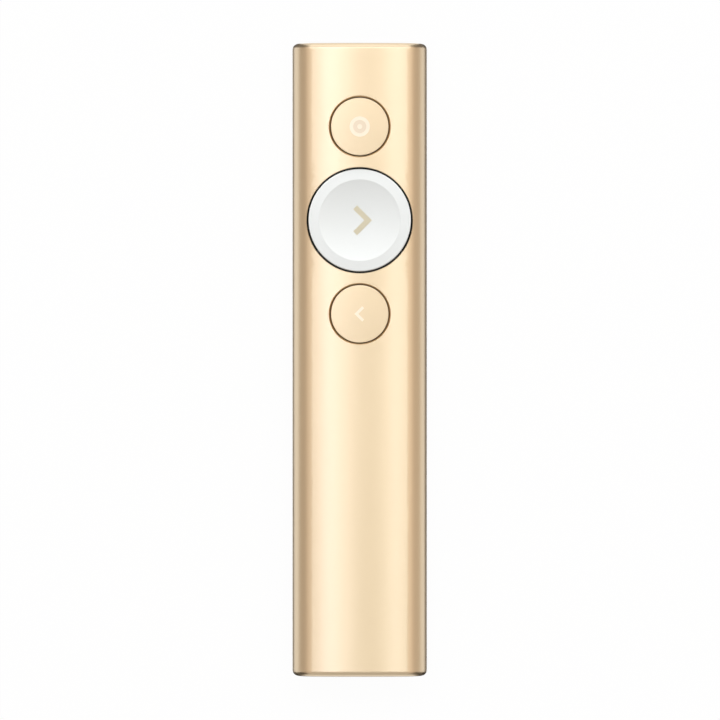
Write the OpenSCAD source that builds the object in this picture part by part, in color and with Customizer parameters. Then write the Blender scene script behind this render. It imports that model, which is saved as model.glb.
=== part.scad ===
// Wireless presentation clicker.
// It lies on its flat back: +Z is up through the crowned front face, +Y points the way
// the clicker points, and the origin is the centre of the back. Millimetres.

/* [Case] */
// Length of the case
body_l = 131.4; // [128:0.2:140]
// Width of the case
body_w = 28; // [25.2:0.1:31]
// Thickness of the case at the middle of its crowned front
body_t = 12.1; // [12:0.1:14]
// Wall of the two metal shells
wall = 1; // [0.8:0.05:1.1]
// Radius of the crown across the front face
crown_r = 70; // [55:1:110]
// Radius of the shoulders between the front face and the sides
shoulder_r = 4.95; // [4.5:0.05:5.4]
// Radius of the rounding around both ends
end_r = 1.25; // [0.6:0.05:1.6]
// How far the joint line lies below the widest line of the sides
seam_drop = 0.4; // [0.2:0.05:0.8]
// Width of the joint line between the shells
seam_gap = 0.15; // [0.05:0.05:0.25]
// Thickness of the two lips that line the shells up
lip_t = 0.4; // [0.3:0.05:0.5]
// How far the lips reach past the joint line
lip_reach = 0.8; // [0.4:0.1:1.2]

/* [Buttons] */
// From the pointing end to the middle of the pointer button
pointer_inset = 17.4; // [16.5:0.1:20]
// From the middle of one button to the middle of the next
button_pitch = 19.4; // [18.6:0.1:21]
// Diameter of the pointer and back caps
small_cap_d = 11.95; // [11:0.05:12.6]
// Gap around the pointer and back caps
small_gap = 0.15; // [0.1:0.05:0.35]
// Diameter of the large forward cap
next_cap_d = 21.2; // [20:0.1:21.8]
// Gap around the forward cap
next_gap = 0.38; // [0.2:0.02:0.44]
// How far the caps lie below the crown's top
cap_drop = 0.1; // [0:0.05:0.3]
// Radius of the slight crown on the small caps
small_crown_r = 140; // [80:5:300]
// Chamfer around each cap
cap_chamfer = 0.2; // [0.1:0.05:0.3]
// Diameter of the dish in the forward cap
dish_d = 16.9; // [14:0.1:18]
// Depth of the dish
dish_depth = 0.85; // [0.4:0.05:1]
// How far the forward cap's rim falls from the dish to its edge
rim_fall = 0.1; // [0.05:0.05:0.4]
// Travel of each button
button_travel = 0.4; // [0.2:0.05:0.45]
// Thickness of the plate under each cap
keyplate_t = 0.7; // [0.5:0.05:0.8]
// How far each plate reaches out under the shell
flange_lip = 0.65; // [0.5:0.05:0.75]
// Width of the forward button's plate
next_plate_w = 17.2; // [16:0.1:17.4]
// Gap between a resting plate and the shell over it
flange_gap = 0.2; // [0.1:0.05:0.25]
// Radius of the post under a small cap
small_post_r = 1.5; // [1:0.1:2]
// Radius of the post under the forward cap
next_post_r = 2; // [1.5:0.1:2.5]

/* [Switches and keypad] */
// Side of a switch
switch_w = 4.5; // [4.2:0.1:5]
// Height of a switch base
switch_base_h = 1.2; // [1.1:0.05:1.3]
// Floor of a switch base
switch_floor_t = 0.2; // [0.15:0.05:0.25]
// Thickness of a switch cover
switch_cover_t = 0.15; // [0.1:0.05:0.2]
// Radius of the snap dome
dome_r = 1.6; // [1.4:0.05:1.75]
// Height of the snap dome
dome_h = 0.6; // [0.55:0.05:0.65]
// Thickness of the snap dome
dome_t = 0.08; // [0.05:0.01:0.12]
// Radius of a switch stem
stem_r = 0.9; // [0.7:0.05:1]
// Height of the foot on a stem
stem_foot_h = 0.25; // [0.2:0.05:0.3]
// How far a pressed stem stands out of its switch
stem_proud = 0.25; // [0.2:0.05:0.3]
// Thickness of the rubber keypad
membrane_t = 0.3; // [0.2:0.05:0.4]
// Thickness of the frame under the keypad
frame_t = 0.6; // [0.5:0.05:0.7]

/* [Board and chassis] */
// Thickness of the main board
board_t = 0.8; // [0.6:0.1:0.8]
// Width of the main board
board_w = 21; // [20:0.2:22]
// Thickness of the chassis plate
chassis_t = 0.8; // [0.6:0.1:0.8]
// Gap between the chassis and the lips at its sides
chassis_gap = 0.2; // [0.15:0.05:0.5]
// Width of the two rails under the chassis
rail_w = 1; // [0.8:0.05:1.05]
// Thickness of the tape under the rails
tape_t = 0.15; // [0.1:0.05:0.25]
// From the inside of the pointing end to the board and the chassis
board_inset = 1.7; // [1.2:0.1:2.5]
// Height of the antenna over the board
antenna_h = 1.6; // [1:0.1:2.4]
// Length of the shield can
can_l = 15; // [12:0.5:16]

/* [Battery and motor] */
// Length of the battery
battery_l = 34; // [28:0.5:38]
// Gap on both sides of the battery
battery_side_gap = 0.6; // [0.4:0.1:1]
// Thickness of the battery
battery_h = 3.6; // [3:0.1:3.7]
// Diameter of the haptic motor
motor_d = 8; // [7:0.5:9]
// Height of the haptic motor
motor_h = 2.7; // [2:0.1:3]

/* [Receiver and bay] */
// Width of the receiver
receiver_w = 17.4; // [16:0.1:18]
// Height of the receiver
receiver_h = 5.9; // [5.4:0.1:6]
// Length of the receiver's housing with its end cap
receiver_l = 14.5; // [13:0.1:16]
// Wall of the receiver's housing
receiver_wall = 0.6; // [0.5:0.05:0.65]
// Thickness of the receiver's end cap
receiver_cap_t = 0.7; // [0.5:0.1:1]
// Corner radius of the receiver
receiver_corner_r = 1.6; // [1:0.1:2.2]
// Gap around the stowed receiver
bay_gap = 0.2; // [0.1:0.05:0.3]
// Wall of the bay's sleeve
sleeve_wall = 0.6; // [0.5:0.05:0.7]
// How far the bay's middle lies below mid-thickness
bay_drop = 0.15; // [0:0.05:0.2]
// Depth of the bezel around the bay's mouth
bezel_l = 0.8; // [0.6:0.1:1]
// Radius of the thumb notch in the back
notch_r = 6.5; // [4:0.1:7]
// Number of grip grooves under the receiver
groove_count = 4; // [2:1:4]

/* [Sockets and plugs] */
// Width of the charging socket
port_w = 8.94; // [8.94]
// Height of the charging socket
port_h = 3.26; // [3.26]
// Length of the charging socket
port_l = 7.35; // [6.5:0.05:8]
// Wall of the charging socket
port_wall = 0.3; // [0.25:0.05:0.35]
// Width of the receiver's plug
plug_w = 12; // [12]
// Height of the receiver's plug
plug_h = 4.5; // [4.5]
// How far the receiver's plug stands out
plug_l = 12; // [11.75:0.05:12.5]
// Wall of the receiver's plug
plug_wall = 0.3; // [0.3]

/* [Pointing end] */
// Width of the radio window
window_w = 16; // [12:0.5:18]
// Height of the radio window
window_h = 4.5; // [3:0.1:5]
// How far the window's inner flange reaches past its opening
window_flange = 0.8; // [0.5:0.1:1]
// Thickness of the window's inner flange
window_flange_t = 0.6; // [0.4:0.1:0.8]

/* [Screws] */
// Diameter of the case and bay screws
screw_d = 1.4; // [1.2:0.1:1.4]
// Diameter of the frame screws
frame_screw_d = 1; // [0.8:0.1:1.1]
// Height of a screw head
head_h = 0.5; // [0.4:0.05:0.5]
// Radius of the bosses for the case screws
boss_r = 1.4; // [1.2:0.05:1.45]
// From the side of the case to the case screws
boss_inset = 3.6; // [3.4:0.05:3.7]

/* [Hidden] */
$fn = 64;
sliver = 0.01;       // what a joined or cut face reaches past another
past = 1;            // how far a cut reaches past a solid
clear = 0.3;         // usual gap between pieces that don't touch
snug = 0.1;          // gap around a piece that is set into another
thread_gap = 0.02;   // gap between a screw and the hole that it bites in

half_l = body_l / 2;
half_w = body_w / 2;

// The section: a flat back, two rear arcs, two shoulders and the crown
crown_z = body_t - crown_r;
shoulder_x = half_w - shoulder_r;
widest_z = crown_z + sqrt(pow(crown_r - shoulder_r, 2) - pow(shoulder_x, 2));
shoulder_angle = atan2(widest_z - crown_z, shoulder_x);
rear_flat = half_w - widest_z;
seam_z = widest_z - seam_drop;
end_inner = half_l - wall;
lip_hold = 1.5;
lip_x1 = half_w - wall - snug;
boss_x = half_w - boss_inset;

// Buttons, from the shell down
pointer_y = half_l - pointer_inset;
next_y = pointer_y - button_pitch;
back_y = next_y - button_pitch;
cap_top = body_t - cap_drop;
small_cap_r = small_cap_d / 2;
small_hole_r = small_cap_r + small_gap;
small_flange_r = small_hole_r + flange_lip;
next_cap_r = next_cap_d / 2;
next_hole_r = next_cap_r + next_gap;
next_flange_r = next_hole_r + flange_lip;
small_plate_top = inner_z(small_flange_r) - flange_gap;
next_plate_top = inner_z(next_plate_w / 2) - flange_gap;
dish_r = dish_d / 2;
dish_ball_r = (pow(dish_r, 2) + pow(dish_depth, 2)) / (2 * dish_depth);

// The stack under the buttons, from the top down
pressed_gap = 0.15;
cover_gap = 0.1;
key_low = min(small_plate_top, next_plate_top) - keyplate_t;
membrane_z = key_low - button_travel - pressed_gap - membrane_t;
frame_z = membrane_z - frame_t;
cover_z = frame_z - cover_gap - switch_cover_t;
stem_top = frame_z - cover_gap + button_travel + stem_proud;
board_top = cover_z - switch_base_h;
board_z = board_top - board_t;
chassis_z = board_z - chassis_t;
dome_z = board_top + switch_floor_t;
stem_z = dome_z + dome_h;
stem_foot_r = dome_r - snug;
switch_bore_r = dome_r + 2 * snug;

// The frame and the keypad
frame_margin = 9.5;
frame_w = 2 * (boss_x - boss_r - clear);
frame_y0 = back_y - frame_margin;
frame_y1 = pointer_y + frame_margin;
frame_leg_r = 1.3;
frame_edge = 0.2;
frame_leg_x = frame_w / 2 - frame_leg_r - frame_edge;
frame_leg_inset = 1.6;
frame_leg_ys = [frame_y0 + frame_leg_inset, frame_y1 - frame_leg_inset];
frame_head_r = frame_screw_d / 2 + 0.4;
membrane_w = frame_w - 2 * frame_edge;
membrane_inset = frame_leg_inset + frame_head_r + clear;

// The bay, from the mouth in
bay_z = body_t / 2 - bay_drop;
mouth_y = -half_l;
bay_w = receiver_w + 2 * bay_gap;
bay_h = receiver_h + 2 * bay_gap;
bay_corner_r = receiver_corner_r + bay_gap;
sleeve_w = bay_w + 2 * sleeve_wall;
sleeve_h = bay_h + 2 * sleeve_wall;
sleeve_corner_r = bay_corner_r + sleeve_wall;
sleeve_y0 = mouth_y + bezel_l;
plug_root_y = mouth_y + receiver_l;
plug_tip_y = plug_root_y + plug_l;
bay_end_y = plug_tip_y + bay_gap;
sleeve_end_t = 0.8;
sleeve_y1 = bay_end_y + sleeve_end_t;
sleeve_top = bay_z + sleeve_h / 2;
port_y1 = bay_end_y + port_l;
spring_w = 3;
spring_t = 0.2;
spring_inset = 8;
spring_root = 3.5;
spring_l = 8;
spring_touch = 5.3;
spring_y1 = sleeve_y1 - spring_inset;
spring_bend_y = spring_y1 - spring_root;
spring_drop = sleeve_wall + bay_gap - 0.07;

// The board and the chassis
board_y0 = sleeve_y1 + clear;
board_y1 = end_inner - board_inset;
chassis_w = 2 * (lip_x1 - lip_t - chassis_gap);
rail_inset = 1;
rail_x1 = rear_flat - snug;
rail_x0 = rail_x1 - rail_w;
rail_y0 = board_y0 + rail_inset;
rail_y1 = board_y1 - rail_inset;
rail_z = wall + tape_t;
top_boss_inset = 6;
low_boss_inset = 10;
boss_ys = [end_inner - top_boss_inset, (next_y + back_y) / 2, board_y0 + low_boss_inset];
boss_hole_h = 2.4;
boss_hole_top = board_top + boss_hole_h;
screw_l = boss_hole_top - chassis_z - clear;
screw_head_r = screw_d / 2 + 0.45;
frame_boss_r = 1.2;
frame_boss_h = 2;
frame_screw_l = membrane_z - chassis_z + frame_boss_h - clear;

// The two ears that hold the bay's sleeve down on the board
port_wing = 1.2;
ear_l = 4;
ear_t = 0.8;
ear_x0 = port_w / 2 + port_wing + clear;
ear_x1 = sleeve_w / 2;
ear_screw_x = (ear_x0 + ear_x1) / 2;
ear_screw_y = sleeve_y1 + ear_l / 2;
ear_boss_h = 1;
ear_boss_r = screw_d / 2 + 0.4;
bay_screw_l = ear_t + board_t + chassis_t + ear_boss_h - clear;

// Chips on the board, from the low boss row up
can_w = 2 * (frame_leg_x - frame_leg_r - clear);
can_h = frame_z - board_top - clear;
can_wall = 0.15;
can_y = boss_ys[2] + boss_r + clear + can_l / 2;
chip_w = 6;
chip_h = 0.85;
sensor_w = 3;
sensor_h = 0.9;
sensor_gap = 2;
antenna_gap = 1.5;
antenna_edge = 0.7;
sensor_y = can_y + can_l / 2 + sensor_gap + sensor_w / 2;

// The battery under the forward button, its connector, and the motor
battery_w = 2 * (rail_x0 - battery_side_gap);
battery_gap = 0.2;
pad_inset = 1;
battery_z = chassis_z - battery_gap - battery_h;
battery_y0 = next_y - battery_l / 2;
lead_r = 0.4;
lead_x = 0.9;
lead_z = chassis_z - lead_r - snug;
connector_w = 3.6;
connector_l = 3;
connector_h = 2;
battery_lead_l = 3.5;
connector_y = battery_y0 - battery_lead_l - connector_l / 2;
connector_z = board_z - connector_h;
motor_y = can_y;
motor_pad_t = 0.15;
motor_z = chassis_z - motor_pad_t - motor_h;
motor_lead_drop = 0.6;
motor_lead_l = 4;
motor_lead_z = motor_z + motor_h - motor_lead_drop;
motor_lead_y = motor_y + motor_d / 2 + motor_lead_l;

// The receiver
spigot_l = 1;
plug_corner_r = 0.5;
tongue_w = plug_w - 2 * plug_wall - 2 * snug;
tongue_h = 1.84;
tongue_inset = 0.5;
tongue_top = bay_z + plug_h / 2 - plug_wall - snug;
contact_w = 1;
contact_t = 0.15;
contact_pitch = 2.3;
contact_inset = 1;
plug_hold = 2.5;
receiver_board_w = 14;
receiver_board_t = 0.8;
receiver_board_top = tongue_top - tongue_h - contact_t;
receiver_board_y0 = mouth_y + receiver_cap_t + spigot_l + clear;
receiver_board_y1 = plug_root_y - plug_hold - clear;
receiver_chip_w = 4;
receiver_chip_h = 0.8;
receiver_chip_inset = 1.5;
groove_w = 0.5;
groove_depth = 0.3;
groove_pitch = 1.3;
groove_inset = 1;
groove_l = 8;

gold = "BurlyWood";
ink = [0.08, 0.08, 0.09];
steel = [0.72, 0.73, 0.75];

// ---- Shared outlines and shapes ----

// Height of the shell's inside over a point x from the middle
function inner_z(x) = crown_z + sqrt(pow(crown_r - wall, 2) - pow(x, 2));

// Points on an arc about c, from angle a0 to a1; skip leaves out the first ones
function arc(c, r, a0, a1, steps, skip = 0) =
  [for (i = [skip:steps]) let (a = a0 + (a1 - a0) * i / steps) c + r * [cos(a), sin(a)]];

// Right half of the case's section, from the back up, drawn in by inset
function half_section(inset) = concat(
  arc([rear_flat, widest_z], widest_z - inset, -90, 0, 12),
  arc([shoulder_x, widest_z], shoulder_r - inset, 0, shoulder_angle, 10, 1),
  arc([0, crown_z], crown_r - inset, shoulder_angle, 90, 6, 1)
);

// The whole section, drawn in by inset
function section(inset) =
  let (right = half_section(inset), n = len(right))
  concat(right, [for (i = [n - 2:-1:0]) [-right[i][0], right[i][1]]]);

// A rectangle with round corners, about the origin
function round_rect(w, h, r) =
  let (x = w / 2 - r, y = h / 2 - r)
  concat(arc([x, y], r, 0, 90, 6), arc([-x, y], r, 90, 180, 6),
         arc([-x, -y], r, 180, 270, 6), arc([x, -y], r, 270, 360, 6));

// Extrudes an outline drawn in X and Z along Y, at height z
module along_y(outline, y0, y1, z = 0)
  translate([0, y1, z]) rotate([90, 0, 0]) linear_extrude(y1 - y0) polygon(outline);

// Extrudes an outline drawn in Y and Z along X, about the middle
module across_x(outline, w)
  translate([-w / 2, 0, 0]) rotate([90, 0, 90]) linear_extrude(w) polygon(outline);

// A block between two corners
module block(low, high) translate(low) cube(high - low);

// A block on both sides of the middle
module both_sides(low, high) for (side = [0, 1]) mirror([side, 0, 0]) block(low, high);

// An upright round bar
module bar(x, y, z0, z1, r) translate([x, y, z0]) cylinder(r = r, h = z1 - z0);

// A round bar at each place (x, y) and its mirror image
module bars(x, ys, z0, z1, r) for (side = [-1, 1], y = ys) bar(side * x, y, z0, z1, r);

// The whole case as one solid, drawn in by inset, with round edges at both ends
module case_solid(inset = 0) {
  steps = 5;
  turns = [for (i = [0:steps]) 90 * i / steps];
  rings = concat(
    [for (i = [steps:-1:0]) [-sin(turns[i]), 1 - cos(turns[i])]],
    [for (a = turns) [sin(a), 1 - cos(a)]]
  );
  n = len(section(0));
  count = len(rings);
  points = [
    for (i = [0:count - 1]) let (side = i <= steps ? -1 : 1, ring = rings[i])
    for (p = section(inset + end_r * ring[1]))
    [p[0], side * (half_l - inset - end_r) + end_r * ring[0], p[1]]
  ];
  faces = concat(
    [[for (j = [n - 1:-1:0]) j]],
    [for (i = [0:count - 2], j = [0:n - 1]) let (k = (j + 1) % n)
      [i * n + j, i * n + k, (i + 1) * n + k, (i + 1) * n + j]],
    [[for (j = [0:n - 1]) (count - 1) * n + j]]
  );
  polyhedron(points, faces);
}

// The hollow inside both shells
module case_hollow() along_y(section(wall), -end_inner, end_inner);

// The opening for the bay, and the notch that lets a thumb reach the receiver
module mouth_cut() along_y(round_rect(sleeve_w + 2 * snug, sleeve_h + 2 * snug, sleeve_corner_r + snug),
  mouth_y - past, mouth_y + 2 * wall, bay_z);
module notch_cut() bar(0, mouth_y, -past, bay_z, notch_r);

// The opening for the radio window
module window_cut() along_y(round_rect(window_w + snug, window_h + snug, (window_h + snug) / 2),
  end_inner - sliver, half_l + past, bay_z);

// A screw with its head under z = 0 and its shank up, with a cross recess
module screw(d, length, head_r) difference() {
  union() {
    translate([0, 0, -head_h]) cylinder(r = head_r, h = head_h);
    cylinder(d = d, h = length);
  }
  recess_l = 1.3 * head_r;
  recess_w = 0.3 * head_r;
  for (turn = [0, 90]) rotate(turn)
    translate([-recess_l / 2, -recess_w / 2, -head_h - sliver]) cube([recess_l, recess_w, head_h / 2]);
}

// ---- Case ----

module front_shell() color(gold) difference() {
  union() {
    difference() {
      intersection() {
        case_solid();
        block([-body_w, -body_l, seam_z + seam_gap / 2], [body_w, body_l, 2 * body_t]);
      }
      case_hollow();
    }
    intersection() {
      case_solid(wall / 2);
      bars(boss_x, boss_ys, board_z, body_t, boss_r);
    }
  }
  bars(boss_x, boss_ys, board_z - past, boss_hole_top, screw_d / 2 + thread_gap);
  for (y = [pointer_y, back_y]) bar(0, y, board_top, body_t + past, small_hole_r);
  bar(0, next_y, board_top, body_t + past, next_hole_r);
  mouth_cut();
  window_cut();
}

module rear_shell() color(gold) {
  lip_y = end_inner - 2 * top_boss_inset;
  difference() {
    intersection() {
      case_solid();
      block([-body_w, -body_l, -past], [body_w, body_l, seam_z - seam_gap / 2]);
    }
    case_hollow();
    mouth_cut();
    notch_cut();
    window_cut();
  }
  both_sides([lip_x1 - lip_t, -lip_y, seam_z - lip_hold], [lip_x1, lip_y, seam_z + lip_reach]);
}

module antenna_window() color(ink) {
  along_y(round_rect(window_w, window_h, window_h / 2), end_inner, half_l, bay_z);
  flange_h = window_h + 2 * window_flange;
  along_y(round_rect(window_w + 2 * window_flange, flange_h, flange_h / 2),
    end_inner - window_flange_t, end_inner, bay_z);
}

module bay_bezel() color(ink) difference() {
  along_y(round_rect(sleeve_w, sleeve_h, sleeve_corner_r), mouth_y, sleeve_y0, bay_z);
  along_y(round_rect(bay_w, bay_h, bay_corner_r), mouth_y - past, sleeve_y0 + past, bay_z);
  notch_cut();
}

module rear_tape() color("white")
  both_sides([rail_x0, rail_y0 + rail_inset, wall], [rail_x1, rail_y1 - rail_inset, rail_z]);

// ---- Chassis, board and keypad ----

// The slot that the charging socket sits in
module port_slot() block([-port_w / 2 - clear, board_y0 - past, chassis_z - past],
  [port_w / 2 + clear, port_y1 + clear, board_top + past]);

module chassis() color([0.3, 0.31, 0.33]) difference() {
  union() {
    block([-chassis_w / 2, board_y0, chassis_z], [chassis_w / 2, board_y1, board_z]);
    both_sides([rail_x0, rail_y0, rail_z], [rail_x1, rail_y1, chassis_z]);
    bars(ear_screw_x, [ear_screw_y], chassis_z - ear_boss_h, chassis_z, ear_boss_r);
    bars(frame_leg_x, frame_leg_ys, chassis_z - frame_boss_h, chassis_z, frame_boss_r);
  }
  bars(boss_x, boss_ys, rail_z, board_top, screw_d / 2 + snug);
  bars(ear_screw_x, [ear_screw_y], rail_z, board_top, screw_d / 2 + thread_gap);
  bars(frame_leg_x, frame_leg_ys, rail_z, board_top, frame_screw_d / 2 + thread_gap);
  port_slot();
  window_x = connector_w / 2 + clear;
  block([-window_x, connector_y - connector_l / 2 - clear, chassis_z - past],
    [window_x, connector_y + connector_l / 2 + clear, board_top]);
  slot_x = lead_x + lead_r + clear;
  block([-slot_x, motor_lead_y - lead_r - clear, chassis_z - past],
    [slot_x, motor_lead_y + lead_r + clear, board_top]);
}

module main_board() color("DarkSlateGray") difference() {
  block([-board_w / 2, board_y0, board_z], [board_w / 2, board_y1, board_top]);
  bars(boss_x, boss_ys, board_z - past, board_top + past, boss_r + clear);
  bars(frame_leg_x, frame_leg_ys, board_z - past, board_top + past, frame_screw_d / 2 + snug);
  bars(ear_screw_x, [ear_screw_y], board_z - past, board_top + past, screw_d / 2 + snug);
  port_slot();
}

module button_frame() color("DimGray") difference() {
  union() {
    block([-frame_w / 2, frame_y0, frame_z], [frame_w / 2, frame_y1, membrane_z]);
    bars(frame_leg_x, frame_leg_ys, board_top, frame_z, frame_leg_r);
  }
  bars(frame_leg_x, frame_leg_ys, board_top - past, membrane_z + past, frame_screw_d / 2 + snug);
  post_holes(frame_z - past, membrane_z + past);
}

module keypad_membrane() color(ink) difference() {
  block([-membrane_w / 2, frame_y0 + membrane_inset, membrane_z],
    [membrane_w / 2, frame_y1 - membrane_inset, membrane_z + membrane_t]);
  post_holes(membrane_z - past, membrane_z + membrane_t + past);
}

// Where the posts under the caps pass through
module post_holes(z0, z1) {
  for (y = [pointer_y, back_y]) bar(0, y, z0, z1, small_post_r + clear);
  bar(0, next_y, z0, z1, next_post_r + clear);
}

// ---- Buttons ----

// A disc with a slightly crowned top and a chamfered edge
module small_cap(y) color(gold) translate([0, y, 0]) rotate_extrude() {
  crown_centre = [0, cap_top - small_crown_r];
  face_r = small_cap_r - cap_chamfer;
  edge_z = crown_centre[1] + sqrt(pow(small_crown_r, 2) - pow(face_r, 2));
  polygon(concat(
    [[0, small_plate_top], [small_cap_r, small_plate_top], [small_cap_r, edge_z - cap_chamfer]],
    arc(crown_centre, small_crown_r, acos(face_r / small_crown_r), 90, 5)
  ));
}

module small_keyplate(y) color(ink) {
  bar(0, y, small_plate_top - keyplate_t, small_plate_top, small_flange_r);
  bar(0, y, stem_top, small_plate_top - keyplate_t, small_post_r);
}

// A disc with a ball-shaped dish, a rim that falls outwards and a chamfered edge
module next_cap() color("white") translate([0, next_y, 0]) rotate_extrude() {
  edge_z = cap_top - rim_fall;
  polygon(concat(
    [[0, next_plate_top], [next_cap_r, next_plate_top], [next_cap_r, edge_z - cap_chamfer],
     [next_cap_r - cap_chamfer, edge_z]],
    arc([0, cap_top - dish_depth + dish_ball_r], dish_ball_r, -acos(dish_r / dish_ball_r), -90, 8)
  ));
}

module next_keyplate() color(ink) {
  intersection() {
    bar(0, next_y, next_plate_top - keyplate_t, next_plate_top, next_flange_r);
    block([-next_plate_w / 2, next_y - body_w, 0], [next_plate_w / 2, next_y + body_w, body_t]);
  }
  bar(0, next_y, stem_top, next_plate_top - keyplate_t, next_post_r);
}

// The part of a switch that the cap's post pushes
module stem(y) color("Gainsboro") {
  bar(0, y, stem_z, stem_z + stem_foot_h, stem_foot_r);
  bar(0, y, stem_z, stem_top, stem_r);
}

// The metal dome that snaps and pushes the stem back
module dome(y) color(steel) translate([0, y, dome_z]) rotate_extrude() {
  ball_r = (pow(dome_r, 2) + pow(dome_h, 2)) / (2 * dome_h);
  foot_angle = asin((ball_r - dome_h) / ball_r);
  centre = [0, dome_h - ball_r];
  polygon(concat(
    arc(centre, ball_r, foot_angle, 90, 6),
    [for (i = [6:-1:0]) let (a = foot_angle + (90 - foot_angle) * i / 6)
      [max(0, (ball_r - dome_t) * cos(a)), max(0, centre[1] + (ball_r - dome_t) * sin(a))]]
  ));
}

module switch_base(y) color(ink) difference() {
  block([-switch_w / 2, y - switch_w / 2, board_top], [switch_w / 2, y + switch_w / 2, cover_z]);
  bar(0, y, dome_z, cover_z + past, switch_bore_r);
}

module switch_cover(y) color(steel) difference() {
  block([-switch_w / 2, y - switch_w / 2, cover_z],
    [switch_w / 2, y + switch_w / 2, cover_z + switch_cover_t]);
  bar(0, y, cover_z - past, cover_z + past, stem_r + snug);
}

// ---- Electronics ----

module controller_chip() color(ink)
  block([-chip_w / 2, can_y - chip_w / 2, board_top], [chip_w / 2, can_y + chip_w / 2, board_top + chip_h]);

module motion_sensor() color(ink)
  block([-sensor_w / 2, sensor_y - sensor_w / 2, board_top],
    [sensor_w / 2, sensor_y + sensor_w / 2, board_top + sensor_h]);

module shield_can() color(steel) difference() {
  block([-can_w / 2, can_y - can_l / 2, board_top], [can_w / 2, can_y + can_l / 2, board_top + can_h]);
  block([-can_w / 2 + can_wall, can_y - can_l / 2 + can_wall, board_top - past],
    [can_w / 2 - can_wall, can_y + can_l / 2 - can_wall, board_top + can_h - can_wall]);
}

// A bent strip of metal on two legs, at the board's end behind the radio window
module antenna() color("Goldenrod") {
  half = 7;
  strip_t = 0.3;
  leg_x = 5;
  y0 = frame_y1 + antenna_gap;
  y1 = board_y1 - antenna_edge;
  block([-half, y0, board_top + antenna_h - strip_t], [half, y1, board_top + antenna_h]);
  both_sides([leg_x, y0, board_top], [leg_x + strip_t, y1, board_top + antenna_h - sliver]);
}

module battery_cell() color("Silver")
  block([-battery_w / 2, battery_y0, battery_z],
    [battery_w / 2, battery_y0 + battery_l, battery_z + battery_h]);

module battery_pad() color("SlateGray")
  block([-battery_w / 2 + pad_inset, battery_y0 + pad_inset, wall],
    [battery_w / 2 - pad_inset, battery_y0 + battery_l - pad_inset, battery_z]);

module battery_leads() color("Firebrick") for (side = [-1, 1])
  translate([side * lead_x, battery_y0, lead_z]) rotate([90, 0, 0])
    cylinder(r = lead_r, h = battery_lead_l);

module battery_connector() color("Ivory")
  block([-connector_w / 2, connector_y - connector_l / 2, connector_z],
    [connector_w / 2, connector_y + connector_l / 2, board_z]);

module haptic_motor() color(steel) bar(0, motor_y, motor_z, motor_z + motor_h, motor_d / 2);

module motor_pad() color("SlateGray")
  bar(0, motor_y, motor_z + motor_h, chassis_z, motor_d / 2 - pad_inset / 2);

// Two wires from the motor, up through the chassis to the board
module motor_leads() color("RoyalBlue") for (side = [-1, 1]) translate([side * lead_x, 0, 0]) {
  start_y = motor_y + sqrt(pow(motor_d / 2, 2) - pow(lead_x - lead_r, 2)) + sliver;
  translate([0, motor_lead_y, motor_lead_z]) rotate([90, 0, 0])
    cylinder(r = lead_r, h = motor_lead_y - start_y);
  translate([0, motor_lead_y, motor_lead_z]) sphere(r = lead_r);
  bar(0, motor_lead_y, motor_lead_z, board_z, lead_r);
}

module charge_port() color(steel) {
  difference() {
    along_y(round_rect(port_w, port_h, port_h / 2 - sliver), bay_end_y, port_y1, bay_z);
    along_y(round_rect(port_w - 2 * port_wall, port_h - 2 * port_wall, port_h / 2 - port_wall - sliver),
      bay_end_y - past, port_y1 - port_wall, bay_z);
  }
  wing_l = 2.2;
  wing_t = 0.2;
  wing_y1 = port_y1 - 1;
  both_sides([port_w / 2 - port_wall, wing_y1 - wing_l, board_top],
    [port_w / 2 + port_wing, wing_y1, board_top + wing_t]);
}

module charge_port_tongue() color(ink) {
  blade_w = 6.7;
  blade_t = 0.7;
  blade_inset = 0.6;
  root_l = 2.2;
  block([-blade_w / 2, bay_end_y + blade_inset, bay_z - blade_t / 2],
    [blade_w / 2, port_y1 - port_wall - root_l + sliver, bay_z + blade_t / 2]);
  root_w = port_w - port_h;
  root_h = port_h - 2 * port_wall - snug;
  block([-root_w / 2, port_y1 - port_wall - root_l, bay_z - root_h / 2],
    [root_w / 2, port_y1 - port_wall, bay_z + root_h / 2]);
}

// ---- Receiver bay ----

module bay_sleeve() color(ink) difference() {
  union() {
    along_y(round_rect(sleeve_w, sleeve_h, sleeve_corner_r), sleeve_y0, sleeve_y1, bay_z);
    both_sides([ear_x0, sleeve_y1 - sleeve_end_t, board_top],
      [ear_x1, sleeve_y1 + ear_l, board_top + ear_t]);
  }
  along_y(round_rect(bay_w, bay_h, bay_corner_r), sleeve_y0 - past, bay_end_y, bay_z);
  along_y(round_rect(port_w + 2 * snug, port_h + 2 * snug, port_h / 2 + snug - sliver),
    bay_end_y - past, sleeve_y1 + past, bay_z);
  bars(ear_screw_x, [ear_screw_y], board_z, board_top + ear_t + past, screw_d / 2 + snug);
  notch_cut();
  block([-spring_w / 2 - clear, spring_bend_y - spring_l - 2 * clear, bay_z],
    [spring_w / 2 + clear, spring_bend_y, sleeve_top + past]);
}

// A leaf spring that presses on the stowed receiver through a window in the sleeve
module bay_spring() color(steel) {
  under = [[spring_y1, 0], [spring_bend_y, 0], [spring_bend_y - spring_touch, -spring_drop],
    [spring_bend_y - spring_l, 0]];
  over = [for (i = [3:-1:0]) under[i] + [0, spring_t]];
  across_x([for (p = concat(under, over)) p + [0, sleeve_top]], spring_w);
}

// ---- Receiver ----

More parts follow.
